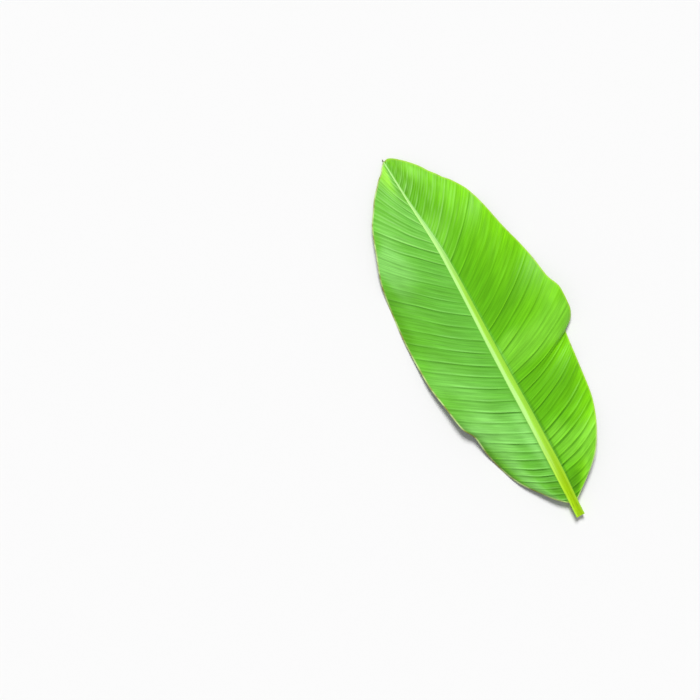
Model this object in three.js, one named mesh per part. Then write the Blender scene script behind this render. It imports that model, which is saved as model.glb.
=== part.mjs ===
// A freshly cut banana leaf, laid down with its upper side up. It grew as one piece, so it is one
// closed solid: stalk, rib, both halves of the blade and the dried point at the tip.
//
// Millimetres. The leaf is shaped with +Y from the cut end of the stalk to the tip, +X towards its
// right half and +Z up from the surface it lies on. It is then moved so that the origin is the
// middle of its footprint, at the height of that surface.

import * as THREE from 'three';
import { mergeVertices } from 'three/addons/utils/BufferGeometryUtils.js';

// ---- Driving dimensions ----

const LENGTH = 600;           // from the cut end of the stalk to the end of the dried point
const BLADE_START = 24;       // where the blade begins, past a short bare stalk
const BLADE_END = 596;        // where the blade closes and the dried point begins
const BLADE_THICKNESS = 0.8;

// The rib, by distance along the leaf.
const RIB_BEND = [[0, 0], [110, 4], [260, 6], [430, 9], [535, 2], [600, -1]];
const RIB_WIDTH = [[0, 13], [24, 13.2], [80, 14.6], [150, 13.8], [310, 10.6], [400, 8.4], [470, 6],
  [510, 4], [550, 2.5], [596, 1.3], [600, 0.8]];
const RIB_DEPTH = [[0, 11], [60, 12], [150, 11.5], [310, 8.5], [400, 7], [470, 5], [535, 3.2],
  [596, 1.6], [600, 1]];
const GROOVE_DEPTH = [[0, 2.4], [150, 2.2], [310, 1.6], [400, 1.2], [470, 0.8], [535, 0.4],
  [600, 0.1]];
const GROOVE_SOFTNESS = 0.25; // how round the bottom of the groove is; 0 would make it a sharp V
const KEEL_HEIGHT = [[0, 0], [220, 0], [420, 5], [540, 3], [600, 1]];
const KEEL_FLAT = 0.36;       // share of the rib's width that rests flat on the surface

// Each half of the blade, by where a side vein leaves the rib: how far the vein reaches sideways,
// how far it runs on towards the tip, and how high the margin stands over the surface there.
const LEFT_HALF = {
  side: -1,
  veinBow: 0.05,              // how far a vein bows towards the stalk, as a share of its length
  crestShift: 1.0,            // above 1 moves the crest of the blade out towards the margin
  reach: [[24, 0], [30, 14], [40, 33], [58, 53], [80, 65.5], [105, 74], [128, 78], [145, 89],
    [175, 96], [215, 103], [260, 104], [310, 101], [350, 96], [400, 81.5], [439, 69.5],
    [468, 50.5], [508, 26.5], [540, 13], [570, 6], [596, 0]],
  advance: [[24, 0], [30, 6], [40, 19], [58, 29], [80, 36], [128, 46], [175, 58], [215, 65],
    [260, 74], [310, 82], [350, 85], [400, 83], [439, 78], [468, 77.5], [508, 64], [540, 43],
    [570, 21], [596, 0]],
  lift: [[24, 10], [40, 7], [80, 0], [128, 11], [145, 15], [175, 13], [260, 3], [310, 0],
    [350, 6], [400, 10], [480, 7], [565, 1.5], [596, 1]],
};
const RIGHT_HALF = {
  side: 1,
  veinBow: 0.085,
  crestShift: 1.35,
  reach: [[24, 0], [30, 16], [40, 38], [52, 56], [66, 68.5], [85, 81], [110, 90], [135, 94],
    [190, 100], [203, 102], [212, 114], [226, 123], [244, 124], [262, 115.5], [290, 111],
    [315, 105], [350, 94], [390, 84], [420, 76], [450, 62], [468, 53.5], [481, 48.8],
    [493, 43.1], [508, 38.4], [527, 31.8], [555, 20.5], [585, 6.3], [596, 0]],
  advance: [[24, 0], [30, 6], [40, 14], [66, 27], [85, 35], [110, 40], [135, 47], [160, 52],
    [190, 48], [212, 46], [226, 52], [262, 71], [290, 76], [350, 79], [390, 81], [450, 74],
    [468, 67], [481, 62.5], [493, 59], [508, 54], [527, 45.5], [555, 31], [585, 12], [596, 0]],
  lift: [[24, 10], [52, 13], [66, 13], [110, 4], [135, 2], [160, 6], [203, 0], [226, 14],
    [244, 18], [262, 14], [315, 2], [350, 7], [390, 9], [420, 0], [485, 6], [540, 4.5],
    [596, 1]],
};
const CREST_RATIO = 0.07;     // rise of the blade between rib and margin, as a share of its reach
const OPENING_REACH = 30;     // reach at which the blade has taken its full shape

// Spacing of the rows of points that cross the leaf, closer where the outline turns sharply.
const ROW_RUNS = [
  { end: BLADE_START, step: 8 },
  { end: 60, step: 4 },
  { end: 186, step: 9 },
  { end: 231, step: 5 },
  { end: 540, step: 9 },
  { end: BLADE_END, step: 5.6 },
  { end: LENGTH, step: 2 },
];
const BLADE_COLUMNS = [0.16, 0.33, 0.5, 0.68, 0.85, 1];
const RIB_COLUMNS = [-1, -0.72, -KEEL_FLAT, 0, KEEL_FLAT, 0.72, 1];

const LEAF_GREEN = 0x76c020;

// ---- Curves ----

// Slope at knot k of a smooth curve that never overshoots its knots.
function knotSlope(knots, k) {
  const last = knots.length - 1;
  const secant = (i) => (knots[i + 1][1] - knots[i][1]) / (knots[i + 1][0] - knots[i][0]);
  if (k === 0) return secant(0);
  if (k === last) return secant(last - 1);
  const before = secant(k - 1);
  const after = secant(k);
  if (before * after <= 0) return 0;
  const stepBefore = knots[k][0] - knots[k - 1][0];
  const stepAfter = knots[k + 1][0] - knots[k][0];
  const weightBefore = stepBefore + 2 * stepAfter;
  const weightAfter = 2 * stepBefore + stepAfter;
  return (weightBefore + weightAfter) / (weightBefore / before + weightAfter / after);
}

// Height at `at` of the smooth curve through knots of the form [position, value].
function valueAlong(knots, at) {
  const last = knots.length - 1;
  let k = 0;
  while (k < last - 1 && knots[k + 1][0] <= at) k += 1;
  const step = knots[k + 1][0] - knots[k][0];
  const f = THREE.MathUtils.clamp((at - knots[k][0]) / step, 0, 1);
  const rise = f * f * (3 - 2 * f);
  return knots[k][1] * (1 - rise) + knots[k + 1][1] * rise
    + step * knotSlope(knots, k) * f * (1 - f) * (1 - f)
    - step * knotSlope(knots, k + 1) * f * f * (1 - f);
}

// ---- Rib ----

function shoulderHeight(along) {
  return valueAlong(KEEL_HEIGHT, along) + valueAlong(RIB_DEPTH, along);
}

// Plan position of a point of the rib; across runs from -1 at its left edge to 1 at its right.
function ribPlan(along, across) {
  return [valueAlong(RIB_BEND, along) + across * valueAlong(RIB_WIDTH, along) / 2, along];
}

function ribTop(along, across) {
  const edge = Math.hypot(1, GROOVE_SOFTNESS);
  const share = (edge - Math.hypot(across, GROOVE_SOFTNESS)) / (edge - GROOVE_SOFTNESS);
  return shoulderHeight(along) - valueAlong(GROOVE_DEPTH, along) * share;
}

function ribUnderside(along, across) {
  const outward = Math.max(0, (Math.abs(across) - KEEL_FLAT) / (1 - KEEL_FLAT));
  const roundness = 1 - Math.sqrt(1 - outward * outward);
  return valueAlong(KEEL_HEIGHT, along)
    + (valueAlong(RIB_DEPTH, along) - BLADE_THICKNESS) * roundness;
}

// ---- Blade ----

// Plan position of a point of one half of the blade, `out` of the way along the vein that leaves
// the rib at `along`. The vein starts out steeply and bends on towards the tip.
function bladePlan(half, along, out) {
  const [startX, startY] = ribPlan(along, half.side);
  const sideways = half.side * valueAlong(half.reach, along);
  const forwards = valueAlong(half.advance, along);
  const bendX = sideways / 2 + half.veinBow * half.side * forwards;
  const bendY = forwards / 2 - half.veinBow * Math.abs(sideways);
  const bendShare = 2 * out * (1 - out);
  const endShare = out * out;
  return [
    startX + bendShare * bendX + endShare * sideways,
    startY + bendShare * bendY + endShare * forwards,
  ];
}

// The blade rises from the rib's shoulder to a low crest and falls to its waving margin.
function bladeTop(half, along, out) {
  const reach = valueAlong(half.reach, along);
  const shoulder = shoulderHeight(along);
  const marginTop = valueAlong(half.lift, along) + BLADE_THICKNESS;
  const crest = CREST_RATIO * reach * Math.sin(Math.PI * out ** half.crestShift);
  const opening = THREE.MathUtils.smoothstep(reach, 0, OPENING_REACH);
  return shoulder + opening * ((marginTop - shoulder) * out * out + crest);
}

// ---- The closed solid ----

function rowPositions() {
  const rows = [0];
  for (const run of ROW_RUNS) {
    const start = rows[rows.length - 1];
    const count = Math.ceil((run.end - start) / run.step);
    for (let i = 1; i <= count; i += 1) {
      rows.push(start + (run.end - start) * i / count);
    }
  }
  return rows;
}

// One row across the leaf, from the left margin to the right, as pairs of points: the upper
// surface and the underside below it. Beyond the blade its columns fold onto the rib's edges.
function leafRow(along) {
  const pair = ([x, y], top, underside) => [[x, y, top], [x, y, underside]];
  const bladePair = (half, out) => {
    const top = bladeTop(half, along, out);
    return pair(bladePlan(half, along, out), top, top - BLADE_THICKNESS);
  };
  const ribPair = (across) => pair(
    ribPlan(along, across), ribTop(along, across), ribUnderside(along, across));
  return [
    ...[...BLADE_COLUMNS].reverse().map((out) => bladePair(LEFT_HALF, out)),
    ...RIB_COLUMNS.map(ribPair),
    ...BLADE_COLUMNS.map((out) => bladePair(RIGHT_HALF, out)),
  ];
}

// Joins the rows into a closed surface. Every row goes round the leaf once, over the top and back
// along the underside, so neighbouring rows are joined as rings and the two end rows are capped.
function leafGeometry() {
  const rows = rowPositions().map(leafRow);
  const width = rows[0].length;
  const ring = 2 * width;
  const positions = [];
  for (const row of rows) {
    const over = row.map((points) => points[0]);
    const back = row.map((points) => points[1]).reverse();
    for (const point of [...over, ...back]) positions.push(...point);
  }
  const faces = [];
  const quad = (a, b, c, d) => faces.push([a, b, c], [a, c, d]);
  for (let r = 0; r < rows.length - 1; r += 1) {
    for (let i = 0; i < ring; i += 1) {
      const next = (i + 1) % ring;
      quad(r * ring + i, r * ring + next, (r + 1) * ring + next, (r + 1) * ring + i);
    }
  }
  const lastRing = (rows.length - 1) * ring;
  for (let c = 0; c < width - 1; c += 1) {
    const below = ring - 1 - c;
    quad(c, below, below - 1, c + 1);
    quad(lastRing + c, lastRing + c + 1, lastRing + below - 1, lastRing + below);
  }
  return closedGeometry(positions, faces);
}

// Merges the points of folded columns and drops the faces that have no area left.
function closedGeometry(positions, faces) {
  const raw = new THREE.BufferGeometry();
  raw.setAttribute('position', new THREE.Float32BufferAttribute(positions, 3));
  raw.setIndex(faces.flat());
  const merged = mergeVertices(raw, 1e-3);
  const index = merged.getIndex().array;
  const kept = [];
  for (let i = 0; i < index.length; i += 3) {
    const [a, b, c] = [index[i], index[i + 1], index[i + 2]];
    if (a !== b && b !== c && c !== a) kept.push(a, b, c);
  }
  merged.setIndex(kept);
  return merged;
}

function centreFootprint(geometry) {
  geometry.computeBoundingBox();
  const centre = geometry.boundingBox.getCenter(new THREE.Vector3());
  geometry.translate(-centre.x, -centre.y, -geometry.boundingBox.min.z);
  geometry.computeVertexNormals();
}

const geometry = leafGeometry();
centreFootprint(geometry);
const material = new THREE.MeshStandardMaterial({
  color: LEAF_GREEN,
  roughness: 0.5,
  metalness: 0,
});
const leaf = new THREE.Mesh(geometry, material);
leaf.name = 'banana_leaf';

const group = new THREE.Group();
group.add(leaf);

export default group;
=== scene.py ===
"""The looks of a freshly cut banana leaf, lying upper side up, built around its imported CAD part.

The leaf is one closed mesh. It repeats the CAD solid's shape at a fine pitch and adds what the
solid leaves out: side veins and the hollows between them, small waves of the blade, the air
channels in the cut end of the stalk. Shape functions work in millimetres and in the leaf's own
axes: +Y from the cut end of the stalk to the tip, +X to the right half, +Z up from the surface
it lies on.
"""

import math

import bmesh
import bpy
import numpy as np
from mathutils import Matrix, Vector
from mathutils.geometry import delaunay_2d_cdt


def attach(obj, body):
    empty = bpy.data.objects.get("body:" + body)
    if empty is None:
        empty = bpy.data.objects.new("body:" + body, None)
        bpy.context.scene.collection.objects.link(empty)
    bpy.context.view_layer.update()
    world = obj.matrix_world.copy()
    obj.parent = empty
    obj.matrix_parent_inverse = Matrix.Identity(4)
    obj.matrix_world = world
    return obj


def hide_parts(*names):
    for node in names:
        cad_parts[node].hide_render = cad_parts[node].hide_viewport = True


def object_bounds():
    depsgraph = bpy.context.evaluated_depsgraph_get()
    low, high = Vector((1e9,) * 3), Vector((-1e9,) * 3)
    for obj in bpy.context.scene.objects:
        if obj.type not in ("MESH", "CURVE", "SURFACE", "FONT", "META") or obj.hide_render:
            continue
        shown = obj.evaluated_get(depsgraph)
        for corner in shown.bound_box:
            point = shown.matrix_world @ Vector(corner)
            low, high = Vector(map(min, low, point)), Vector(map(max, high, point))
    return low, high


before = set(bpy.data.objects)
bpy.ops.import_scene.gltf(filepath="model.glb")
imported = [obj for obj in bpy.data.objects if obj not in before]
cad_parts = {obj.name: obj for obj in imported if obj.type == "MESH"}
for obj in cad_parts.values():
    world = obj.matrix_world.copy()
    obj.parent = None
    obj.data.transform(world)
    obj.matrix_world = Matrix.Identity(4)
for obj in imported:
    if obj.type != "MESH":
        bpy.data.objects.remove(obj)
cad_low, cad_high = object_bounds()

MM = 0.001

# ---- Driving dimensions, as in the CAD part ----

LENGTH = 600.0
BLADE_START = 24.0
BLADE_END = 596.0
CAD_THICKNESS = 0.8

RIB_BEND = [(0, 0), (110, 4), (260, 6), (430, 9), (535, 2), (600, -1)]
RIB_WIDTH = [(0, 13), (24, 13.2), (80, 14.6), (150, 13.8), (310, 10.6), (400, 8.4), (470, 6),
             (510, 4), (550, 2.5), (596, 1.3), (600, 0.8)]
RIB_DEPTH = [(0, 11), (60, 12), (150, 11.5), (310, 8.5), (400, 7), (470, 5), (535, 3.2),
             (596, 1.6), (600, 1)]
GROOVE_DEPTH = [(0, 2.4), (150, 2.2), (310, 1.6), (400, 1.2), (470, 0.8), (535, 0.4), (600, 0.1)]
GROOVE_SOFTNESS = 0.25
KEEL_HEIGHT = [(0, 0), (220, 0), (420, 5), (540, 3), (600, 1)]
KEEL_FLAT = 0.36

LEFT_HALF = {
    "side": -1,
    "vein_bow": 0.05,
    "vein_fade": [(24, 0.55), (160, 0.6), (300, 0.4), (420, 0.45), (600, 0.5)],
    "crest_shift": 1.0,
    "reach": [(24, 0), (30, 14), (40, 33), (58, 53), (80, 65.5), (105, 74), (128, 78), (145, 89),
              (175, 96), (215, 103), (260, 104), (310, 101), (350, 96), (400, 81.5), (439, 69.5),
              (468, 50.5), (508, 26.5), (540, 13), (570, 6), (596, 0)],
    "advance": [(24, 0), (30, 6), (40, 19), (58, 29), (80, 36), (128, 46), (175, 58), (215, 65),
                (260, 74), (310, 82), (350, 85), (400, 83), (439, 78), (468, 77.5), (508, 64),
                (540, 43), (570, 21), (596, 0)],
    "lift": [(24, 10), (40, 7), (80, 0), (128, 11), (145, 15), (175, 13), (260, 3), (310, 0),
             (350, 6), (400, 10), (480, 7), (565, 1.5), (596, 1)],
}
RIGHT_HALF = {
    "side": 1,
    "vein_bow": 0.085,
    "vein_fade": [(24, 0.4), (120, 0.5), (200, 0.65), (350, 0.6), (450, 0.5), (600, 0.5)],
    "crest_shift": 1.35,
    "reach": [(24, 0), (30, 16), (40, 38), (52, 56), (66, 68.5), (85, 81), (110, 90), (135, 94),
              (190, 100), (203, 102), (212, 114), (226, 123), (244, 124), (262, 115.5),
              (290, 111), (315, 105), (350, 94), (390, 84), (420, 76), (450, 62), (468, 53.5),
              (481, 48.8), (493, 43.1), (508, 38.4), (527, 31.8), (555, 20.5), (585, 6.3),
              (596, 0)],
    "advance": [(24, 0), (30, 6), (40, 14), (66, 27), (85, 35), (110, 40), (135, 47), (160, 52),
                (190, 48), (212, 46), (226, 52), (262, 71), (290, 76), (350, 79), (390, 81),
                (450, 74), (468, 67), (481, 62.5), (493, 59), (508, 54), (527, 45.5), (555, 31),
                (585, 12), (596, 0)],
    "lift": [(24, 10), (52, 13), (66, 13), (110, 4), (135, 2), (160, 6), (203, 0), (226, 14),
             (244, 18), (262, 14), (315, 2), (350, 7), (390, 9), (420, 0), (485, 6), (540, 4.5),
             (596, 1)],
}
CREST_RATIO = 0.07         # height of each half's arch, to its reach
OPENING_REACH = 30.0       # the reach at which a half leaves the rib at its full slope

# ---- What the fine mesh adds ----

SKIN = 0.5                 # thickness of the blade
FLOOR_GAP = 0.05           # least height of the blade's underside above the surface
FIRST_VEIN = 31.0          # strong side veins, by where they leave the rib
LAST_VEIN = 588.0
VEIN_SPACING = [(24, 10.5), (100, 14.5), (200, 18), (300, 20), (400, 23), (470, 17), (600, 12)]
UNEVEN_SPACING = (0.87, 1.13)    # least and greatest, to that spacing
VEIN_HEIGHT = [(24, 1.0), (120, 1.3), (200, 1.0), (300, 0.95), (420, 0.65), (500, 0.5), (600, 0.2)]
VEIN_FLANKS = (0.7, 1.1)   # half widths of a strong vein, on its stalk side and its tip side
VEIN_VIGOUR = (0.45, 1.3)  # weakest and strongest of the strong veins
VEIN_FADE_OUT = (0.2, 0.85)   # where out to the margin the veins fade
MAX_SLANT = 2.2            # spacing along the rib over spacing square to the veins, at most
HOLLOW_DEPTH = (0.2, 0.65)    # shallowest and deepest of the hollows between strong veins
MEDIUM_VEIN_PLACES = (1 / 3, 2 / 3)
MEDIUM_VEIN_HEIGHT = 0.22
MEDIUM_VEIN_WIDTH = 0.75
FURROW_DEPTH = 0.22        # doubled near the stalk
FURROW_OFFSET = 1.35       # from a strong vein to the dark furrow on its stalk side
FURROW_WIDTH = 0.75
NEAR_STALK = (90, 220)     # where along the rib the broad furrows of the stalk end
UNDERSIDE_VEIN = 0.35      # how far strong veins stand out below
SKEW = 5.0                 # how far left and right veins leave the rib out of step
SKEW_SWINGS = 1.5          # how many times along the leaf that swings one way and the other
RIB_DIP = 0.6              # depth of the dip in the blade just beside the rib
RIB_DIP_WIDTH = 2.4
VEIN_WANDER = 1.1          # how far a vein strays from its curve
FLUTE_HEIGHT = 0.1         # fine ridges along the rib
FLUTE_END = 560.0

MARGIN_BAND = 4.0          # how far in from the margin the mesh tells the rim's colour
STALK_PITCH = 1.7          # spacing of mesh rows on the bare stalk
POINT_ROWS = [597.2, 598.4, 599.3]    # mesh rows on the dry point at the tip
FILL_PITCH = 1.75          # widest spacing of mesh rows between veins
NEAR_VEIN = (0.45, 0.95, 1.6, 2.6)    # distances of the rows on both sides of a strong vein
NEAR_MEDIUM_VEIN = 0.8     # the same for a medium vein
BLADE_COLUMN_COUNT = 28
COLUMN_CLUSTER = 0.6       # how strongly columns crowd towards the rib and the margin
RIB_COLUMN_COUNT = 19
WELD_DISTANCE = 0.002      # points closer than this are one
SHARP_ANGLE = 55.0         # degrees between faces from which an edge is drawn sharp

CHANNEL_PITCH = 2.15       # air channels in the cut stalk
CHANNEL_STRAY = 0.15       # how far a channel lies from its place in the pattern, at most
CHANNEL_RADIUS = 0.68
CHANNEL_SIZES = (0.75, 1.1)    # smallest and largest, to that radius
CHANNEL_DEPTH = 1.3
CHANNEL_SIDES = 9
CHANNEL_TAPER = 0.72       # radius of a channel's floor, to that of its mouth
CHANNEL_INSET = 1.25       # nearest that a channel comes to the skin
CUT_RIM = 0.55             # width of the skin's rim round the cut
CUT_RIM_ROOM = 0.2         # least of it that is kept at corners
CUT = {"skin": 0.0, "pith": 1.0, "channel": 2.0}    # what the cut attribute says

# Seeds of the random draws. A half adds its own side to them, -1 or 1.
CHANNEL_SEED = 3
RIB_FLUTE_SEED = 5
VEIN_PLACE_SEED = 11
SHEEN_SEED = 15
BAND_SEED = 20
STRONG_VEIN_SEED = 30
MEDIUM_VEIN_SEEDS = (40, 44)
HOLLOW_SEED = 50
BROAD_WAVE_SEED = 60
NARROW_WAVE_SEED = 70
CRIMP_SEED = 80
WANDER_SEED = 90

# Painted sheen on the upper side (above 0), for the key light's reflection with some waxy bloom,
# and painted shade in deep green (below 0): side, place along the rib, place out to the margin,
# half lengths of both, strength.
SHEEN_AND_SHADE_PATCHES = [
    (-1, 50, 0.20, 22, 0.25, -1.0),
    (-1, 72, 1.03, 45, 0.11, -1.6),
    (-1, 42, 0.70, 18, 0.22, 1.0),
    (-1, 85, 0.66, 40, 0.22, 1.0),
    (-1, 132, 0.95, 18, 0.20, 0.9),
    (-1, 150, 0.60, 40, 0.40, 0.8),
    (-1, 135, 0.06, 40, 0.12, 0.9),
    (-1, 245, 0.85, 40, 0.30, 0.6),
    (-1, 285, 0.97, 38, 0.16, -1.2),
    (-1, 345, 0.97, 24, 0.12, -0.7),
    (-1, 388, 0.80, 50, 0.35, 1.1),
    (-1, 421, 0.99, 20, 0.10, -0.9),
    (-1, 545, 0.05, 25, 0.30, -0.8),
    (1, 42, 0.20, 20, 0.35, -1.0),
    (1, 55, 0.80, 28, 0.35, 1.2),
    (1, 80, 0.45, 16, 0.28, 1.0),
    (1, 110, 0.18, 32, 0.28, 1.0),
    (1, 150, 0.65, 42, 0.40, -0.9),
    (1, 205, 0.75, 9, 0.40, -0.3),
    (1, 243, 0.30, 18, 0.50, 1.1),
    (1, 272, 0.12, 14, 0.20, 0.9),
    (1, 226, 0.88, 16, 0.30, 1.3),
    (1, 300, 0.85, 40, 0.30, -0.35),
    (1, 330, 0.40, 50, 0.45, -0.5),
    (1, 430, 0.97, 60, 0.07, 0.4),
    (1, 470, 0.10, 50, 0.30, 0.8),
    (1, 548, 0.35, 30, 0.60, -0.8),
]


# ---- Curves and noise ----

def along_curve(knots, at):
    """Value at `at` of the smooth curve through (position, value) knots; it never overshoots."""
    x, y = np.array(knots, float).T
    step = np.diff(x)
    secant = np.diff(y) / step
    before, after = secant[:-1], secant[1:]
    weight_before = step[:-1] + 2 * step[1:]
    weight_after = 2 * step[:-1] + step[1:]
    turning = before * after <= 0
    safe_before = np.where(turning, 1.0, before)
    safe_after = np.where(turning, 1.0, after)
    inner = (weight_before + weight_after) / (
        weight_before / safe_before + weight_after / safe_after)
    slope = np.concatenate([secant[:1], np.where(turning, 0.0, inner), secant[-1:]])
    k = np.clip(np.searchsorted(x, at, side="right") - 1, 0, len(x) - 2)
    f = np.clip((at - x[k]) / step[k], 0, 1)
    rise = f * f * (3 - 2 * f)
    return (y[k] * (1 - rise) + y[k + 1] * rise
            + step[k] * slope[k] * f * (1 - f) ** 2
            - step[k] * slope[k + 1] * f ** 2 * (1 - f))


def smoothstep(low, high, value):
    f = np.clip((value - low) / (high - low), 0, 1)
    return f * f * (3 - 2 * f)


def value_noise(seed, u, v):
    """Smooth noise from -1 to 1, one bump to each unit of u and v."""
    size = 64
    lattice = np.random.default_rng(seed).uniform(-1, 1, (size, size))
    iu, iv = np.floor(u).astype(int), np.floor(v).astype(int)
    fu, fv = u - iu, v - iv
    fu, fv = fu * fu * (3 - 2 * fu), fv * fv * (3 - 2 * fv)

    def corner(du, dv):
        return lattice[(iu + du) % size, (iv + dv) % size]

    near = corner(0, 0) * (1 - fu) + corner(1, 0) * fu
    far = corner(0, 1) * (1 - fu) + corner(1, 1) * fu
    return near * (1 - fv) + far * fv


# ---- Rib and blade, as in the CAD part ----

def shoulder_height(along):
    return along_curve(KEEL_HEIGHT, along) + along_curve(RIB_DEPTH, along)


def rib_plan(along, across):
    x = along_curve(RIB_BEND, along) + across * along_curve(RIB_WIDTH, along) / 2
    return x, along


def rib_top(along, across):
    edge = math.hypot(1, GROOVE_SOFTNESS)
    share = (edge - np.hypot(across, GROOVE_SOFTNESS)) / (edge - GROOVE_SOFTNESS)
    return shoulder_height(along) - along_curve(GROOVE_DEPTH, along) * share


def rib_underside(along, across):
    outward = np.maximum(0, (np.abs(across) - KEEL_FLAT) / (1 - KEEL_FLAT))
    roundness = 1 - np.sqrt(1 - outward ** 2)
    depth = along_curve(RIB_DEPTH, along) - SKIN
    return along_curve(KEEL_HEIGHT, along) + depth * roundness


def blade_plan(half, along, out):
    start_x, start_y = rib_plan(along, half["side"])
    sideways = half["side"] * along_curve(half["reach"], along)
    forwards = along_curve(half["advance"], along)
    bend_x = sideways / 2 + half["vein_bow"] * half["side"] * forwards
    bend_y = forwards / 2 - half["vein_bow"] * np.abs(sideways)
    bend_share = 2 * out * (1 - out)
    return (start_x + bend_share * bend_x + out ** 2 * sideways,
            start_y + bend_share * bend_y + out ** 2 * forwards)


def blade_top(half, along, out):
    reach = along_curve(half["reach"], along)
    shoulder = shoulder_height(along)
    margin_top = along_curve(half["lift"], along) + CAD_THICKNESS
    crest = CREST_RATIO * reach * np.sin(math.pi * out ** half["crest_shift"])
    opening = smoothstep(0, OPENING_REACH, reach)
    return shoulder + opening * ((margin_top - shoulder) * out ** 2 + crest)


# ---- Side veins ----

def vein_positions():
    """Where strong side veins leave the rib, a little unevenly."""
    chance = np.random.default_rng(VEIN_PLACE_SEED)
    places = [FIRST_VEIN]
    while places[-1] < LAST_VEIN:
        spacing = float(along_curve(VEIN_SPACING, places[-1]))
        places.append(places[-1] + spacing * chance.uniform(*UNEVEN_SPACING))
    stretch = (LAST_VEIN - FIRST_VEIN) / (places[-1] - FIRST_VEIN)
    return FIRST_VEIN + (np.array(places) - FIRST_VEIN) * stretch


VEINS = vein_positions()
BAND_EDGES = np.concatenate([[BLADE_START], VEINS, [BLADE_END]])


def row_positions():
    """Positions along the rib of the mesh's rows, crowded where a vein needs them."""
    rows = list(np.linspace(0, BLADE_START, round(BLADE_START / STALK_PITCH), endpoint=False))
    for low, high in zip(BAND_EDGES[:-1], BAND_EDGES[1:]):
        gap = high - low
        marks = [low, high]
        marks += [low + d for d in NEAR_VEIN if d < gap / 4]
        marks += [high - d for d in NEAR_VEIN if d < gap / 4]
        for third in (low + gap / 3, high - gap / 3):
            marks += [third - NEAR_MEDIUM_VEIN, third, third + NEAR_MEDIUM_VEIN]
        marks.sort()
        for a, b in zip(marks[:-1], marks[1:]):
            pieces = max(1, math.ceil((b - a) / FILL_PITCH))
            rows += list(np.linspace(a, b, pieces, endpoint=False))
    return np.array(rows + [BLADE_END, *POINT_ROWS, LENGTH])


def place_in_band(half, row):
    """Which band between strong veins a row is in, how far through it, and the band's width.

    Also which strong vein is nearest and how far past it the row is. The width and this distance
    are measured square to the veins.
    """
    reach = along_curve(half["reach"], row)
    advance = along_curve(half["advance"], row)
    slant = np.clip(np.hypot(reach, advance) / np.maximum(reach, 1), 1, MAX_SLANT)
    band = np.clip(np.searchsorted(BAND_EDGES, row, side="right") - 1, 0, len(BAND_EDGES) - 2)
    low, high = BAND_EDGES[band], BAND_EDGES[band + 1]
    share = np.clip((row - low) / (high - low), 0, 1)
    nearest = band + np.round(share).astype(int)
    distance = np.where(share < 0.5, row - low, row - high) / slant
    return band, share, (high - low) / slant, nearest, distance


def medium_veins(side, band, share, width, out):
    """Strength of the two weaker veins between each pair of strong ones."""
    strength = np.zeros_like(share)
    for place, seed in zip(MEDIUM_VEIN_PLACES, MEDIUM_VEIN_SEEDS):
        offset = (share - place) * width
        patchy = 0.5 + 0.5 * value_noise(seed + side, band * 1.3, out * 4)
        strength = strength + np.exp(-(offset / MEDIUM_VEIN_WIDTH) ** 2) * patchy
    return strength


def vein_relief(half, row, out):
    """Height added by the side veins, and the strength of the veins and of their furrows."""
    side = half["side"]
    band, share, width, nearest, distance = place_in_band(half, row)
    chance = np.random.default_rng(BAND_SEED + side)
    sag = chance.uniform(*HOLLOW_DEPTH, len(BAND_EDGES))[band]
    vigour = chance.uniform(*VEIN_VIGOUR, len(BAND_EDGES) + 1)[nearest]
    outward_fade = 1 - along_curve(half["vein_fade"], row) * smoothstep(*VEIN_FADE_OUT, out)
    uneven = 0.7 + 0.3 * value_noise(STRONG_VEIN_SEED + side, nearest * 1.7, out * 5)
    fade = outward_fade * uneven
    stalk_flank, tip_flank = VEIN_FLANKS
    strong = np.exp(-(distance / np.where(distance > 0, tip_flank, stalk_flank)) ** 2)
    strong = strong * fade * vigour
    medium = medium_veins(side, band, share, width, out)
    wave = 0.75 + 0.25 * value_noise(HOLLOW_SEED + side, band * 2.1, out * 3)
    hollow = -sag * wave * np.sin(math.pi * share) * smoothstep(0, 0.1, out)
    hollow = hollow * (0.45 + 0.55 * outward_fade)
    rib_fade = 0.6 + 0.4 * smoothstep(0, 0.04, out)
    margin_fade = 1 - 0.8 * smoothstep(0.85, 1, out)
    present = (row >= FIRST_VEIN - 2) & (row <= LAST_VEIN + 2)
    ridges = along_curve(VEIN_HEIGHT, row) * strong + MEDIUM_VEIN_HEIGHT * medium
    height = (hollow + ridges) * rib_fade * margin_fade * present
    strength = np.clip(strong * 0.8 + 0.4 * medium, 0, 1) * present
    near_stalk = 1 - smoothstep(*NEAR_STALK, row)
    past_furrow = distance + FURROW_OFFSET + 0.6 * near_stalk
    furrow = np.exp(-(past_furrow / (FURROW_WIDTH + 0.7 * near_stalk)) ** 2)
    furrow = furrow * fade * vigour * present
    depth = FURROW_DEPTH * (1 + near_stalk)
    return height - depth * furrow * margin_fade, strength, furrow


def soft_waves(side, row, out, reach):
    """Low waves that a limp blade falls into, none at the rib."""
    broad = 1.3 * value_noise(BROAD_WAVE_SEED + side, row / 47 + 7, out * 2)
    narrow = 0.35 * value_noise(NARROW_WAVE_SEED + side, row / 17 + 3, out * 3.5)
    crimp = 0.3 * value_noise(CRIMP_SEED + side, row / 7.5, out * 5) * smoothstep(0.75, 1, out)
    growth = smoothstep(0, 0.6, out) * smoothstep(0, 40, reach)
    return (broad + narrow + crimp) * growth * (1 - 0.5 * smoothstep(0.85, 1, out))


def sheen_and_shade_amount(side, row, out):
    """Painted shade and sheen, from -1, painted shade in deep green, to 1, painted sheen with some
    waxy bloom.
    """
    total = 0.3 * value_noise(SHEEN_SEED + side, row / 30, out * 2.2)
    for patch_side, place, place_out, half_length, half_out, strength in SHEEN_AND_SHADE_PATCHES:
        if patch_side == side:
            spread = ((row - place) / half_length) ** 2 + ((out - place_out) / half_out) ** 2
            total = total + strength * np.exp(-spread)
    return np.clip(total, -1, 1)


# ---- The mesh ----

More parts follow.
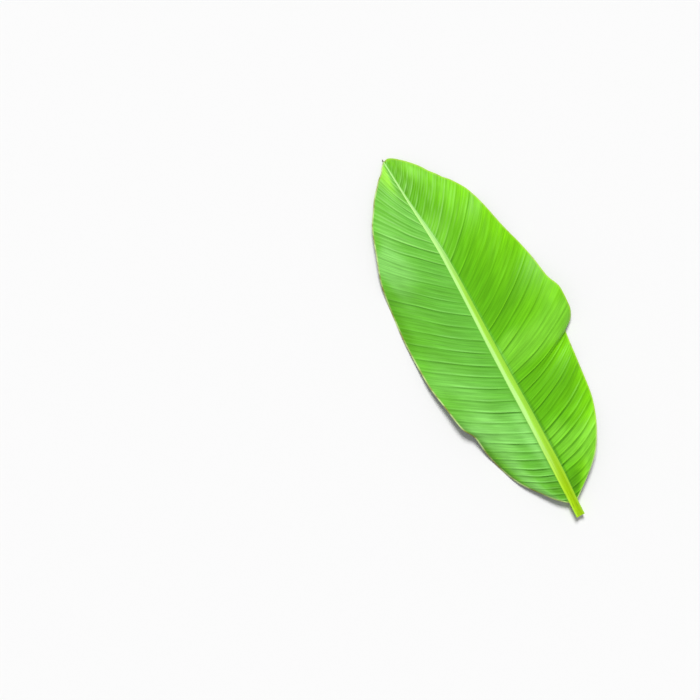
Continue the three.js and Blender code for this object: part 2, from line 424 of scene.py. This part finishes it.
def skew(row):
    """How far along the rib the right half's veins are moved. The left half's go back as far."""
    share = np.clip((row - BLADE_START) / (BLADE_END - BLADE_START), 0, 1)
    return SKEW * np.sin(2 * math.pi * SKEW_SWINGS * share)


def distance_to_margin(x, y):
    """Distance of every blade point from the margin, which is the last column."""
    start_x, start_y = x[:-1, -1], y[:-1, -1]
    span_x, span_y = np.diff(x[:, -1]), np.diff(y[:, -1])
    length_squared = np.maximum(span_x ** 2 + span_y ** 2, 1e-12)
    distance = np.empty_like(x)
    for column in range(x.shape[1]):
        from_x = x[:, column, None] - start_x
        from_y = y[:, column, None] - start_y
        share = np.clip((from_x * span_x + from_y * span_y) / length_squared, 0, 1)
        gaps = np.hypot(from_x - share * span_x, from_y - share * span_y)
        distance[:, column] = gaps.min(axis=1)
    return distance


def blade_columns(half, rows):
    """Points of one half of the blade: an array of rows by columns, rib side first."""
    f = np.arange(1, BLADE_COLUMN_COUNT + 1) / BLADE_COLUMN_COUNT
    outs = f - COLUMN_CLUSTER * np.sin(2 * math.pi * f) / (2 * math.pi)
    row, out = np.meshgrid(rows, outs, indexing="ij")
    side = half["side"]
    on_blade = (row >= BLADE_START) & (row <= BLADE_END)
    wander = VEIN_WANDER * value_noise(WANDER_SEED + side, row / 38, out * 3)
    end_room = smoothstep(0, 30, np.minimum(row - BLADE_START, BLADE_END - row))
    along = row + side * skew(row) + wander * np.sin(math.pi * out) * end_room
    x, y = blade_plan(half, along, out)
    reach = along_curve(half["reach"], along)
    relief, strength, furrow = vein_relief(half, row, out)
    full = smoothstep(0, 12, reach)
    dip = -RIB_DIP * np.exp(-(out * reach / RIB_DIP_WIDTH) ** 2)
    top = blade_top(half, along, out)
    top = top + (relief + dip + soft_waves(side, row, out, reach)) * full
    top = np.maximum(top, 2 * FLOOR_GAP + SKIN)
    under = top - SKIN - UNDERSIDE_VEIN * strength * full * (1 - smoothstep(0.9, 1, out))
    under = np.maximum(under, FLOOR_GAP)
    # The second distance keeps the rim's colour out of the valley where the blade folds at the
    # notch, which passes close to the margin.
    to_margin = np.maximum(distance_to_margin(x, y), 0.35 * (1 - out) * reach)
    return {
        "x": x, "y": y, "top": top, "under": under,
        "along": along / LENGTH, "row": row / LENGTH, "out": side * out,
        "rib": 1.0 * (row < BLADE_START), "across": side * np.ones_like(out),
        "vein": strength * on_blade, "furrow": furrow * on_blade,
        "margin": np.maximum(0, 1 - to_margin / MARGIN_BAND) * on_blade,
        "dry": smoothstep(BLADE_END - 1, BLADE_END + 0.5, row),
        # painted sheen and painted shade, for the material
        "sheen_shade": sheen_and_shade_amount(side, row, out),
    }


def rib_flute(along, across):
    """Height of the fine ridges along the rib, none at its edges."""
    ridges = value_noise(RIB_FLUTE_SEED, across * 7 + 9, along / 160)
    return FLUTE_HEIGHT * ridges * (1 - across ** 2) * (along < FLUTE_END)


def rib_stations():
    """Places across the rib, from -1 to 1, crowded at its rounded flanks."""
    return np.sin(np.linspace(-math.pi / 2, math.pi / 2, RIB_COLUMN_COUNT))


def rib_columns(rows):
    row, across = np.meshgrid(rows, rib_stations(), indexing="ij")
    along = row + skew(row) * across
    x, y = rib_plan(along, across)
    return {
        "x": x, "y": y, "top": rib_top(along, across) + rib_flute(along, across),
        "under": rib_underside(along, across),
        "along": along / LENGTH, "row": row / LENGTH, "out": np.zeros_like(x),
        "rib": np.ones_like(x), "across": across, "vein": np.zeros_like(x),
        "furrow": np.zeros_like(x), "margin": np.zeros_like(x),
        "dry": smoothstep(BLADE_END - 1, BLADE_END + 0.5, row),
        "sheen_shade": np.zeros_like(x),
    }


# Of each of these the mesh keeps one value a point, for the material. Two more, "under" and
# "cut", are made with the skin.
ATTRIBUTES = ("along", "row", "out", "rib", "across", "vein", "furrow", "margin", "dry",
              "sheen_shade")


def leaf_arrays():
    """Every column of the leaf from left margin to right, rows first."""
    rows = row_positions()
    left = blade_columns(LEFT_HALF, rows)
    rib = rib_columns(rows)
    right = blade_columns(RIGHT_HALF, rows)
    return {key: np.hstack([left[key][:, ::-1], rib[key], right[key]]) for key in rib}


def leaf_skin():
    """Points, faces and attributes of the leaf's whole skin, open at the cut end."""
    grid = leaf_arrays()
    row_count, width = grid["x"].shape
    ring = 2 * width
    points = np.empty((row_count, ring, 3))
    points[:, :width] = np.stack([grid["x"], grid["y"], grid["top"]], axis=-1)
    points[:, width:] = np.stack([grid["x"], grid["y"], grid["under"]], axis=-1)[:, ::-1]
    extra = {name: np.hstack([grid[name], grid[name][:, ::-1]]).reshape(-1)
             for name in ATTRIBUTES}
    under = np.hstack([np.zeros((row_count, width)), np.ones((row_count, width))])
    extra["under"] = under.reshape(-1)
    extra["cut"] = np.zeros(row_count * ring)
    corner = np.arange(ring)
    after = (corner + 1) % ring
    quads = []
    for r in range(row_count - 1):
        here, there = r * ring, (r + 1) * ring
        quads.append(np.stack([here + corner, here + after, there + after, there + corner], -1))
    column = np.arange(width - 1)
    below = ring - 1 - column
    last = (row_count - 1) * ring
    quads.append(np.stack([last + column, last + column + 1, last + below - 1, last + below], -1))
    return points.reshape(-1, 3), np.concatenate(quads).tolist(), extra


def cut_outline():
    """The stalk's outline at the cut, as (x, z) points going round anticlockwise."""
    across = rib_stations()
    start = np.zeros_like(across)
    x, _ = rib_plan(start, across)
    over = np.stack([x, rib_top(start, across) + rib_flute(start, across)], -1)
    below = np.stack([x, rib_underside(start, across)], -1)
    return np.concatenate([below, over[::-1]])


def distance_to_outline(outline, point):
    after = np.roll(outline, -1, axis=0)
    span = after - outline
    share = ((point - outline) * span).sum(-1) / np.maximum((span ** 2).sum(-1), 1e-12)
    nearest = outline + np.clip(share, 0, 1)[:, None] * span
    return np.sqrt(((point - nearest) ** 2).sum(-1)).min()


def inside_outline(outline, point):
    after = np.roll(outline, -1, axis=0)
    crosses = (outline[:, 1] > point[1]) != (after[:, 1] > point[1])
    rise = np.where(after[:, 1] == outline[:, 1], 1, after[:, 1] - outline[:, 1])
    at = outline[:, 0] + (point[1] - outline[:, 1]) / rise * (after[:, 0] - outline[:, 0])
    return np.count_nonzero(crosses & (at > point[0])) % 2 == 1


def channel_centres(outline):
    """Centres and radii of the air channels, a slightly uneven triangular pattern."""
    chance = np.random.default_rng(CHANNEL_SEED)
    row_step = CHANNEL_PITCH * math.sqrt(3) / 2
    low, high = outline.min(0), outline.max(0)
    found = []
    for r in range(math.ceil((high[1] - low[1]) / row_step) + 1):
        for c in range(math.ceil((high[0] - low[0]) / CHANNEL_PITCH) + 1):
            centre = low + np.array([(c + (r % 2) / 2) * CHANNEL_PITCH, (r + 0.55) * row_step])
            centre = centre + chance.uniform(-CHANNEL_STRAY, CHANNEL_STRAY, 2)
            room = distance_to_outline(outline, centre)
            if inside_outline(outline, centre) and room > CHANNEL_INSET:
                found.append((centre, CHANNEL_RADIUS * chance.uniform(*CHANNEL_SIZES)))
    return found


def channel_points(outline):
    """Mouth and floor of every air channel: flat points with their depth and what they show."""
    rings = ((1.0, 0.0, CUT["pith"]), (CHANNEL_TAPER, CHANNEL_DEPTH, CUT["channel"]))
    for centre, radius in channel_centres(outline):
        for share, depth, shown in rings:
            for k in range(CHANNEL_SIDES):
                turn = 2 * math.pi * (k + share) / CHANNEL_SIDES
                spoke = np.array([math.cos(turn), math.sin(turn)]) * radius * share
                yield tuple(centre + spoke), depth, shown


def rim_points(outline):
    """Points of the pith just inside the skin."""
    for point in outline:
        inward = outline.mean(0) - point
        inset = point + inward / np.linalg.norm(inward) * CUT_RIM
        room = distance_to_outline(outline, inset)
        if inside_outline(outline, inset) and room > CUT_RIM_ROOM:
            yield tuple(inset), 0.0, CUT["pith"]


def cut_face():
    """The cut end of the stalk: pale pith full of air channels, inside a rim of skin."""
    outline = cut_outline()
    known = [(tuple(point), 0.0, CUT["skin"]) for point in outline]
    known += list(channel_points(outline))
    known += list(rim_points(outline))
    edges = [(k, (k + 1) % len(outline)) for k in range(len(outline))]
    flat = [Vector(point) for point, depth, shown in known]
    result = delaunay_2d_cdt(flat, edges, [], 1, 1e-6)
    corners, faces, sources = result[0], result[2], result[3]
    origins = [known[source[0] if source else 0] for source in sources]
    points = np.array([(corner.x, depth, corner.y)
                       for corner, (_, depth, _) in zip(corners, origins)])
    return points, [list(face) for face in faces], np.array([shown for _, _, shown in origins])


def build_leaf():
    points, faces, extra = leaf_skin()
    end_points, end_faces, cut = cut_face()
    offset = len(points)
    points = np.concatenate([points, end_points])
    faces = faces + [[offset + k for k in face] for face in end_faces]
    for name in extra:
        values = cut if name == "cut" else np.ones(len(cut)) * (name == "rib")
        extra[name] = np.concatenate([extra[name], values])
    mesh = bpy.data.meshes.new("banana_leaf_skin")
    mesh.from_pydata((points * MM).tolist(), [], faces)
    for name, values in extra.items():
        layer = mesh.attributes.new(name, "FLOAT", "POINT")
        layer.data.foreach_set("value", values.astype(np.float32))
    weld(mesh)
    mesh.shade_smooth()
    mesh.set_sharp_from_angle(angle=math.radians(SHARP_ANGLE))
    return mesh


def weld(mesh):
    """Merges the columns that fold onto the rib's edges and the rim of the cut end."""
    work = bmesh.new()
    work.from_mesh(mesh)
    bmesh.ops.remove_doubles(work, verts=work.verts, dist=WELD_DISTANCE * MM)
    bmesh.ops.recalc_face_normals(work, faces=work.faces)
    work.to_mesh(mesh)
    work.free()
    mesh.validate()


def place(obj):
    """Moves the mesh so that its footprint and the CAD part's have the same middle."""
    places = np.empty(len(obj.data.vertices) * 3)
    obj.data.vertices.foreach_get("co", places)
    places = places.reshape(-1, 3)
    own_middle = (places.min(0) + places.max(0)) / 2
    cad_middle = (cad_low + cad_high) / 2
    places[:, 0] += cad_middle.x - own_middle[0]
    places[:, 1] += cad_middle.y - own_middle[1]
    places[:, 2] += cad_low.z
    obj.data.vertices.foreach_set("co", places.reshape(-1))
    obj.data.update()


# ---- Colours ----

def srgb(red, green, blue):
    """A colour from 0 to 255 values, as the linear colour that a shader takes."""
    def linear(value):
        share = value / 255
        return share / 12.92 if share <= 0.04045 else ((share + 0.055) / 1.055) ** 2.4
    return (linear(red), linear(green), linear(blue), 1.0)


# The blade's upper side, left and right of the rib: beside it, at the margin, and at the margin
# near the stalk, the left half's bluer with painted sheen; then painted sheen, partly waxy bloom,
# and painted shade in deep green.
INNER_LEFT_SHEEN = srgb(102, 183, 58)
INNER_RIGHT = srgb(98, 184, 12)
OUTER_LEFT_SHEEN = srgb(108, 192, 52)
OUTER_RIGHT = srgb(120, 208, 3)
BASE_LEFT_SHEEN = srgb(122, 208, 56)
BASE_RIGHT = srgb(156, 240, 34)
SHEEN_LEFT = srgb(142, 218, 108)
SHEEN_RIGHT = srgb(132, 216, 56)
DEEP_GREEN_LEFT = srgb(84, 158, 14)
DEEP_GREEN_RIGHT = srgb(84, 162, 6)
# Painted light with a yellower green at the left tip; painted shade beside the rib, at the stalk
# and at the left margin.
TIP_YELLOW_LIGHT = srgb(158, 238, 50)
PAINTED_RIB_SHADE = srgb(70, 134, 6)
PAINTED_MARGIN_SHADE = srgb(66, 122, 12)
# Painted shade in the furrows beside the strong veins.
FURROW_SHADE = srgb(62, 134, 10)
VEIN_LEFT = srgb(158, 230, 112)
VEIN_RIGHT = srgb(142, 222, 34)
VEIN_FAR = srgb(174, 240, 132)

STALK_MIDDLE = srgb(158, 204, 8)
STALK_EDGE = srgb(182, 230, 50)
STALK_FLECK = srgb(116, 150, 10)
# Painted light on the left wall of the rib's groove.
RIB_LEFT_LIT = srgb(186, 240, 136)
RIB_RIGHT = srgb(166, 230, 70)
RIB_RIGHT_FAR = srgb(180, 238, 140)

RIM_GREEN = srgb(164, 212, 60)
RIM_CREAM = srgb(204, 224, 150)
RIM_BROWN = srgb(148, 142, 72)
UNDER_DARK = srgb(116, 170, 76)
UNDER_PALE = srgb(130, 182, 90)
UNDER_VEIN = srgb(164, 204, 118)
UNDER_RIB = srgb(164, 204, 92)
UNDER_STALK = srgb(152, 196, 46)
PITH = srgb(214, 226, 158)
# Painted shade down the air channels of the cut.
CHANNEL_SHADE = srgb(120, 138, 62)
DRY_TIP = srgb(112, 100, 72)
FLOOR = (0.86, 0.86, 0.86, 1)

LEAF_SPECULAR = 0.17
GRAIN_HEIGHT = 0.12


# ---- Materials ----

class Graph:
    """Short names for making and linking one material's nodes."""

    def __init__(self, name):
        self.material = bpy.data.materials.new(name)
        self.material.use_nodes = True
        self.nodes = self.material.node_tree.nodes
        self.links = self.material.node_tree.links
        self.shader = self.nodes["Principled BSDF"]

    def feed(self, socket, value):
        if isinstance(value, bpy.types.NodeSocket):
            self.links.new(value, socket)
        else:
            socket.default_value = value

    def attribute(self, name):
        node = self.nodes.new("ShaderNodeAttribute")
        node.attribute_name = name
        return node.outputs["Fac"]

    def math(self, operation, a, b=0.0):
        node = self.nodes.new("ShaderNodeMath")
        node.operation = operation
        self.feed(node.inputs[0], a)
        self.feed(node.inputs[1], b)
        return node.outputs[0]

    def times(self, a, b):
        return self.math("MULTIPLY", a, b)

    def ramp(self, value, low, high, start=0.0, end=1.0):
        """Maps value from low..high to start..end, eased at both ends."""
        node = self.nodes.new("ShaderNodeMapRange")
        node.interpolation_type = "SMOOTHSTEP"
        self.feed(node.inputs["Value"], value)
        node.inputs["From Min"].default_value = low
        node.inputs["From Max"].default_value = high
        node.inputs["To Min"].default_value = start
        node.inputs["To Max"].default_value = end
        return node.outputs["Result"]

    def mix(self, share, first, second):
        node = self.nodes.new("ShaderNodeMix")
        node.data_type = "RGBA"
        self.feed(node.inputs["Factor"], share)
        self.feed(node.inputs["A"], first)
        self.feed(node.inputs["B"], second)
        return node.outputs["Result"]

    def brighten(self, colour, factor):
        node = self.nodes.new("ShaderNodeVectorMath")
        node.operation = "SCALE"
        self.feed(node.inputs[0], colour)
        self.feed(node.inputs["Scale"], factor)
        return node.outputs[0]

    def vector(self, x, y, z=0.0):
        node = self.nodes.new("ShaderNodeCombineXYZ")
        for socket, value in zip(node.inputs, (x, y, z)):
            self.feed(socket, value)
        return node.outputs[0]

    def noise(self, vector, detail=2.0):
        node = self.nodes.new("ShaderNodeTexNoise")
        self.feed(node.inputs["Vector"], vector)
        node.inputs["Scale"].default_value = 1.0
        node.inputs["Detail"].default_value = detail
        return node.outputs["Fac"]


class LeafSurface(Graph):
    """The leaf's material, with one method to each part of the leaf.

    Ramps on along_mm and row_mm are in millimetres from the cut end. Those on out and outward
    are in shares of the way from the rib to the margin, and out is below 0 on the left half.
    Those on across_outward are in shares of the way from the rib's middle to its edge.
    """

    def __init__(self):
        super().__init__("banana_leaf_surface")
        self.out = self.attribute("out")
        self.outward = self.math("ABSOLUTE", self.out)
        self.right_share = self.ramp(self.out, -0.02, 0.05)
        self.along_mm = self.times(self.attribute("along"), LENGTH)
        self.row_mm = self.times(self.attribute("row"), LENGTH)
        self.across = self.attribute("across")
        self.across_outward = self.math("ABSOLUTE", self.across)
        self.vein = self.attribute("vein")
        self.rib = self.ramp(self.attribute("rib"), 0.7, 0.95)
        self.under = self.ramp(self.attribute("under"), 0.3, 0.7)
        self.streaks = self.vein_noise(0.55, 2.5, 3.0)
        self.fine = self.vein_noise(1.7, 4.0)
        self.bands = self.vein_noise(0.26, 1.6)
        self.patches = self.vein_noise(0.035, 2.2)

    def vein_noise(self, along_scale, out_scale, detail=2.0):
        """Noise drawn out along the side veins. The underside has its own."""
        place = self.vector(self.times(self.row_mm, along_scale),
                            self.times(self.out, out_scale), self.under)
        return self.noise(place, detail)

    def rib_noise(self, across_scale, along_scale, detail=2.0):
        """Noise drawn out along the rib."""
        place = self.vector(self.times(self.across, across_scale),
                            self.times(self.along_mm, along_scale))
        return self.noise(place, detail)

    def by_half(self, left, right):
        """The left half's colour or the right half's, whichever half a point is in."""
        return self.mix(self.right_share, left, right)

    def share_by_half(self, left, right):
        return self.ramp(self.right_share, 0.0, 1.0, left, right)

    def tint(self, base, colour, *shares):
        """Lays colour over base, as strongly as the product of the shares."""
        total = shares[0]
        for share in shares[1:]:
            total = self.times(total, share)
        return self.mix(total, base, colour)

    def vary(self, colour, noise, low, high):
        """Brightens and darkens colour with the noise, by factors from low to high."""
        return self.brighten(colour, self.ramp(noise, 0.3, 0.7, low, high))

    def blade_ground(self):
        """The blade's green: both halves yellow to the margin, most of all near the stalk. The
        left half's green is bluer with painted sheen, partly its own tone.
        """
        near_stalk = self.ramp(self.math("ADD", self.along_mm, self.times(self.right_share, 30.0)),
                               140.0, 80.0)
        outer = self.mix(near_stalk, self.by_half(OUTER_LEFT_SHEEN, OUTER_RIGHT),
                         self.by_half(BASE_LEFT_SHEEN, BASE_RIGHT))
        return self.mix(self.ramp(self.outward, 0.15, 0.95),
                        self.by_half(INNER_LEFT_SHEEN, INNER_RIGHT), outer)

    def sheened_and_shaded(self, blade):
        """Painted sheen, with some waxy bloom, and painted shade in deep green; deep green patches
        at random too.
        """
        sheen_shade = self.attribute("sheen_shade")
        sheen = self.by_half(SHEEN_LEFT, SHEEN_RIGHT)
        deep_green = self.by_half(DEEP_GREEN_LEFT, DEEP_GREEN_RIGHT)
        blade = self.tint(blade, sheen, self.ramp(sheen_shade, 0.0, 1.0, 0.0, 0.85))
        blade = self.tint(blade, deep_green, self.ramp(sheen_shade, 0.0, -1.0, 0.0, 0.85))
        return self.tint(blade, deep_green, self.ramp(self.patches, 0.35, 0.75, 0.0, 0.35))

    def lit_and_shaded(self, blade):
        """Painted light at the tip of the left half, which is also yellower there; painted shade
        beside the rib, at the left margin near the stalk, and at the stalk.
        """
        blade = self.tint(blade, TIP_YELLOW_LIGHT,
                          self.ramp(self.along_mm, 500.0, 545.0),
                          self.ramp(self.along_mm, 590.0, 565.0, 0.3, 1.0),
                          self.ramp(self.out, -0.2, -0.65, 0.05, 0.9))
        blade = self.tint(blade, PAINTED_RIB_SHADE,
                          self.ramp(self.outward, 0.07, 0.015),
                          self.ramp(self.along_mm, 280.0, 120.0),
                          self.share_by_half(0.3, 0.65))
        blade = self.tint(blade, PAINTED_MARGIN_SHADE,
                          self.ramp(self.out, -0.82, -0.96, 0.0, 0.55),
                          self.ramp(self.along_mm, 190.0, 140.0))
        return self.tint(blade, PAINTED_RIB_SHADE,
                         self.ramp(self.outward, 0.4, 0.1),
                         self.ramp(self.along_mm, 75.0, 40.0),
                         self.share_by_half(0.15, 0.55))

    def veined(self, blade):
        """Painted shade in the furrows beside the veins near the stalk, and pale veins towards the
        tip.
        """
        blade = self.tint(blade, FURROW_SHADE, self.attribute("furrow"),
                          self.ramp(self.along_mm, 400.0, 510.0, 0.85, 0.2))
        far_share = self.ramp(self.along_mm, 380.0, 480.0)
        colour = self.tint(self.by_half(VEIN_LEFT, VEIN_RIGHT), VEIN_FAR, far_share)
        return self.tint(blade, colour, self.vein, self.ramp(far_share, 0.0, 1.0, 0.45, 0.9))

    def upper_blade(self):
        blade = self.lit_and_shaded(self.sheened_and_shaded(self.blade_ground()))
        blade = self.vary(blade, self.bands, 0.94, 1.06)
        blade = self.vary(blade, self.streaks, 0.88, 1.12)
        blade = self.vary(blade, self.fine, 0.95, 1.05)
        return self.veined(blade)

    def stalk(self):
        """Yellow-green, paler at its edges, with darker flecks near the cut."""
        stalk = self.mix(self.ramp(self.across_outward, 0.4, 0.85), STALK_MIDDLE, STALK_EDGE)
        flecks = self.ramp(self.rib_noise(5.0, 0.09), 0.5, 0.68, 0.0, 0.6)
        return self.tint(stalk, STALK_FLECK, flecks, self.ramp(self.along_mm, 70.0, 15.0))

    def upper_rib(self, blade):
        """Painted light: paler on the left wall of its groove, which faces the key, and greener on
        the right; yellow at the stalk.
        """
        stalk = self.stalk()
        stalk_share = self.ramp(self.along_mm, 170.0, 40.0)
        left = self.mix(stalk_share, RIB_LEFT_LIT, stalk)
        right = self.mix(self.ramp(self.along_mm, 350.0, 480.0), RIB_RIGHT, RIB_RIGHT_FAR)
        right = self.mix(stalk_share, right, stalk)
        wander = self.noise(self.vector(self.times(self.along_mm, 0.012), 0.0), 1.0)
        middle = self.math("ADD", self.across, self.ramp(wander, 0.3, 0.7, -0.12, 0.12))
        rib = self.mix(self.ramp(middle, -0.35, 0.1), left, right)
        rib = self.vary(rib, self.rib_noise(9.0, 0.02, 3.0), 0.88, 1.08)
        return self.tint(rib, blade, self.ramp(self.across_outward, 0.82, 1.0),
                         self.ramp(self.along_mm, 350.0, 450.0, 0.4, 0.0))

    def rimmed(self, upper):
        """A pale rim along the margin, brown where it has begun to dry."""
        drying = self.noise(self.vector(self.times(self.row_mm, 0.06), self.out))
        drying = self.math("SUBTRACT", drying, self.times(self.right_share, 0.1))
        cream_share = self.math("MAXIMUM", self.ramp(self.out, 0.0, -0.05),
                                self.ramp(self.along_mm, 90.0, 50.0))
        rim = self.mix(cream_share, RIM_GREEN, RIM_CREAM)
        rim = self.tint(rim, RIM_BROWN, self.ramp(drying, 0.42, 0.6))
        share = self.times(self.ramp(self.attribute("margin"), 0.35, 0.7), 0.8)
        return self.mix(share, upper, rim)

    def underside(self):
        """Paler and duller than the upper side, with pale veins and rib."""
        below = self.mix(self.ramp(self.patches, 0.3, 0.7), UNDER_DARK, UNDER_PALE)
        below = self.vary(below, self.streaks, 0.92, 1.08)
        below = self.tint(below, UNDER_VEIN, self.times(self.vein, 0.7))
        rib = self.mix(self.ramp(self.along_mm, 170.0, 40.0), UNDER_RIB, UNDER_STALK)
        return self.mix(self.rib, below, rib)

    def ended(self, skin):
        """The cut end's cream pith, with painted shade down the air channels, and the dry point at
        the tip.
        """
        cut = self.attribute("cut")
        colour = self.tint(skin, PITH, self.ramp(cut, 0.2, 0.9))
        colour = self.tint(colour, CHANNEL_SHADE, self.ramp(cut, 1.1, 2.0))
        return self.tint(colour, DRY_TIP, self.attribute("dry"))

    def colour(self):
        blade = self.upper_blade()
        upper = self.rimmed(self.mix(self.rib, blade, self.upper_rib(blade)))
        return self.ended(self.mix(self.under, upper, self.underside()))

    def roughness(self):
        streaked = self.ramp(self.streaks, 0.3, 0.7, 0.4, 0.5)
        return self.math("ADD", streaked, self.times(self.under, 0.15))

    def grain(self):
        """Fine bumps between the veins, none on the rib."""
        bump = self.nodes.new("ShaderNodeBump")
        bump.inputs["Strength"].default_value = 0.5
        bump.inputs["Distance"].default_value = GRAIN_HEIGHT * MM
        relief = self.math("ADD", self.fine, self.times(self.streaks, 1.5))
        off_rib = self.ramp(self.rib, 0.0, 1.0, 1.0, 0.0)
        self.feed(bump.inputs["Height"], self.times(relief, off_rib))
        return bump.outputs["Normal"]


def leaf_material():
    surface = LeafSurface()
    surface.feed(surface.shader.inputs["Base Color"], surface.colour())
    surface.feed(surface.shader.inputs["Roughness"], surface.roughness())
    surface.feed(surface.shader.inputs["Normal"], surface.grain())
    surface.shader.inputs["Specular IOR Level"].default_value = LEAF_SPECULAR
    return surface.material


def floor_material():
    floor = Graph("pale_floor")
    floor.shader.inputs["Base Color"].default_value = FLOOR
    floor.shader.inputs["Roughness"].default_value = 0.9
    floor.shader.inputs["Specular IOR Level"].default_value = 0.2
    return floor.material


# ---- The studio ----

VIEW_WIDTH = 1.721          # width of the picture at the leaf, in leaf lengths
AIM_ASIDE = -0.324          # centre of the picture from the leaf's centre, in leaf lengths
AIM_ALONG = 0.129
ROLL = math.radians(-29.02)  # turns the leaf's length away from the picture's upright
LENS_MM = 100.0
LIGHT_AZIMUTH = 27.0        # from +Y towards +X, in degrees
LIGHT_ELEVATION = 50.0
LIGHT_SPREAD = 22.0         # softness of the key light's shadows, in degrees
KEY_STRENGTH = 3.3
HORIZON_STRENGTH = 0.95     # the room's white glow, bright low down and dimmer overhead
OVERHEAD_STRENGTH = 0.3
GLOW_TOP = 0.35             # sine of the elevation where the glow is down to its dimmest
FLOOR_SIZE = 12.0           # metres


def add_camera():
    """Looks straight down, with the leaf in the right half of the picture."""
    length = cad_high.y - cad_low.y
    middle = (cad_low + cad_high) / 2
    data = bpy.data.cameras.new("camera")
    data.lens = LENS_MM
    camera = bpy.data.objects.new("camera", data)
    bpy.context.scene.collection.objects.link(camera)
    distance = VIEW_WIDTH * length * LENS_MM / data.sensor_width
    camera.location = (middle.x + AIM_ASIDE * length, middle.y + AIM_ALONG * length, distance)
    camera.rotation_euler = (0, 0, ROLL)
    data.clip_end = 4 * distance
    bpy.context.scene.camera = camera


def add_world():
    world = bpy.data.worlds.new("studio")
    world.use_nodes = True
    nodes, links = world.node_tree.nodes, world.node_tree.links
    direction = nodes.new("ShaderNodeTexCoord")
    height = nodes.new("ShaderNodeSeparateXYZ")
    links.new(direction.outputs["Generated"], height.inputs["Vector"])
    glow = nodes.new("ShaderNodeMapRange")
    glow.interpolation_type = "SMOOTHSTEP"
    links.new(height.outputs["Z"], glow.inputs["Value"])
    glow.inputs["From Min"].default_value = 0.0
    glow.inputs["From Max"].default_value = GLOW_TOP
    glow.inputs["To Min"].default_value = HORIZON_STRENGTH
    glow.inputs["To Max"].default_value = OVERHEAD_STRENGTH
    nodes["Background"].inputs["Color"].default_value = (1, 1, 1, 1)
    links.new(glow.outputs["Result"], nodes["Background"].inputs["Strength"])
    bpy.context.scene.world = world


def add_key_light():
    data = bpy.data.lights.new("key", "SUN")
    data.energy = KEY_STRENGTH
    data.angle = math.radians(LIGHT_SPREAD)
    light = bpy.data.objects.new("key", data)
    bpy.context.scene.collection.objects.link(light)
    light.location = (0, 0, 2)
    light.rotation_euler = (math.radians(90 - LIGHT_ELEVATION), 0,
                            math.radians(180 - LIGHT_AZIMUTH))


def add_floor():
    bpy.ops.mesh.primitive_plane_add(size=FLOOR_SIZE, location=(0, 0, cad_low.z))
    floor = bpy.context.object
    floor.name = "floor"
    floor.data.materials.append(floor_material())


def add_leaf():
    leaf = bpy.data.objects.new("banana_leaf_skin", build_leaf())
    bpy.context.scene.collection.objects.link(leaf)
    place(leaf)
    leaf.data.materials.append(leaf_material())
    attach(leaf, "root")
    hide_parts("banana_leaf")


bpy.context.scene.view_settings.view_transform = "Standard"
add_camera()
add_world()
add_key_light()
add_floor()
add_leaf()
